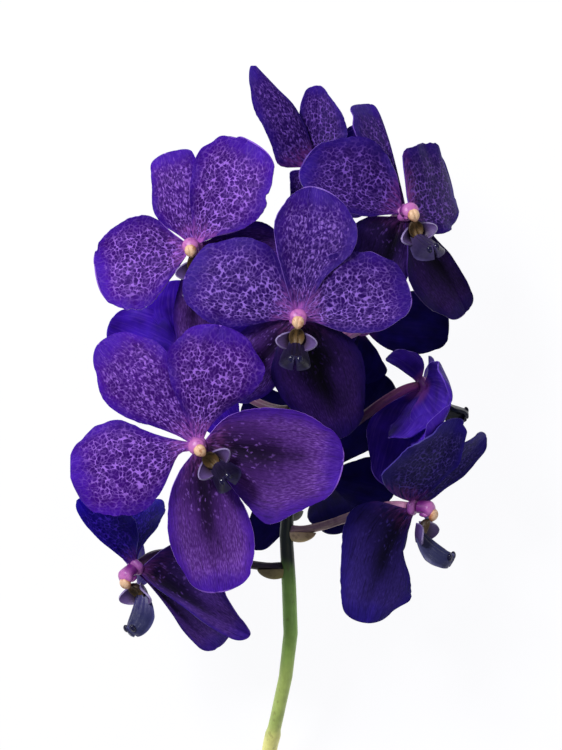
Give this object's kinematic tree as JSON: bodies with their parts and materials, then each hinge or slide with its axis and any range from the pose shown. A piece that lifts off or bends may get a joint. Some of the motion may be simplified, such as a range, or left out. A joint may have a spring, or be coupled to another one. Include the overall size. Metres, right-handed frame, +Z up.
{
  "type": "cut vanda orchid",
  "caption": "Cut spray of vanda orchid laid down: violet blooms with netted tepals, pink columns and lilac lips, on pedicels round one curved green stalk.",
  "frame": {"origin": "on the surface that the spray lies on, below the middle of its bounding box", "axes": "+Z up from the surface, +Y along the stalk from its cut foot to the tip of the spray, +X to the right of the front blooms as seen from above"},
  "size_m": [0.158, 0.2879, 0.1087],
  "materials": {
    "tepal": "soft petal tissue, violet with a lilac net, slightly waxy",
    "column": "waxy flower tissue, magenta pink with a cream cap",
    "lip": "waxy flower tissue, lilac lobes and a slate blue midlobe",
    "pedicel": "smooth fleshy tissue, mauve pink",
    "stem": "smooth fleshy stalk, green to yellow green"
  },
  "bodies": {
    "root": {"stem": "stem", "bloom_a_tepals": "tepal", "bloom_a_column": "column", "bloom_a_lip": "lip", "bloom_a_pedicel": "pedicel", "bloom_b_tepals": "tepal", "bloom_b_column": "column", "bloom_b_lip": "lip", "bloom_b_pedicel": "pedicel", "bloom_c_tepals": "tepal", "bloom_c_column": "column", "bloom_c_lip": "lip", "bloom_c_pedicel": "pedicel", "bloom_d_tepals": "tepal", "bloom_d_column": "column", "bloom_d_lip": "lip", "bloom_d_pedicel": "pedicel", "bloom_e_tepals": "tepal", "bloom_e_column": "column", "bloom_e_lip": "lip", "bloom_e_pedicel": "pedicel", "bloom_f_tepals": "tepal", "bloom_f_column": "column", "bloom_f_lip": "lip", "bloom_f_pedicel": "pedicel", "bloom_g_tepals": "tepal", "bloom_g_column": "column", "bloom_g_lip": "lip", "bloom_g_pedicel": "pedicel", "bloom_h_tepals": "tepal", "bloom_h_column": "column", "bloom_h_lip": "lip", "bloom_h_pedicel": "pedicel", "bloom_i_tepals": "tepal", "bloom_i_column": "column", "bloom_i_lip": "lip", "bloom_i_pedicel": "pedicel", "bloom_j_tepals": "tepal", "bloom_j_column": "column", "bloom_j_lip": "lip", "bloom_j_pedicel": "pedicel", "bloom_k_tepals": "tepal", "bloom_k_column": "column", "bloom_k_lip": "lip", "bloom_k_pedicel": "pedicel"}
  },
  "joints": []
}
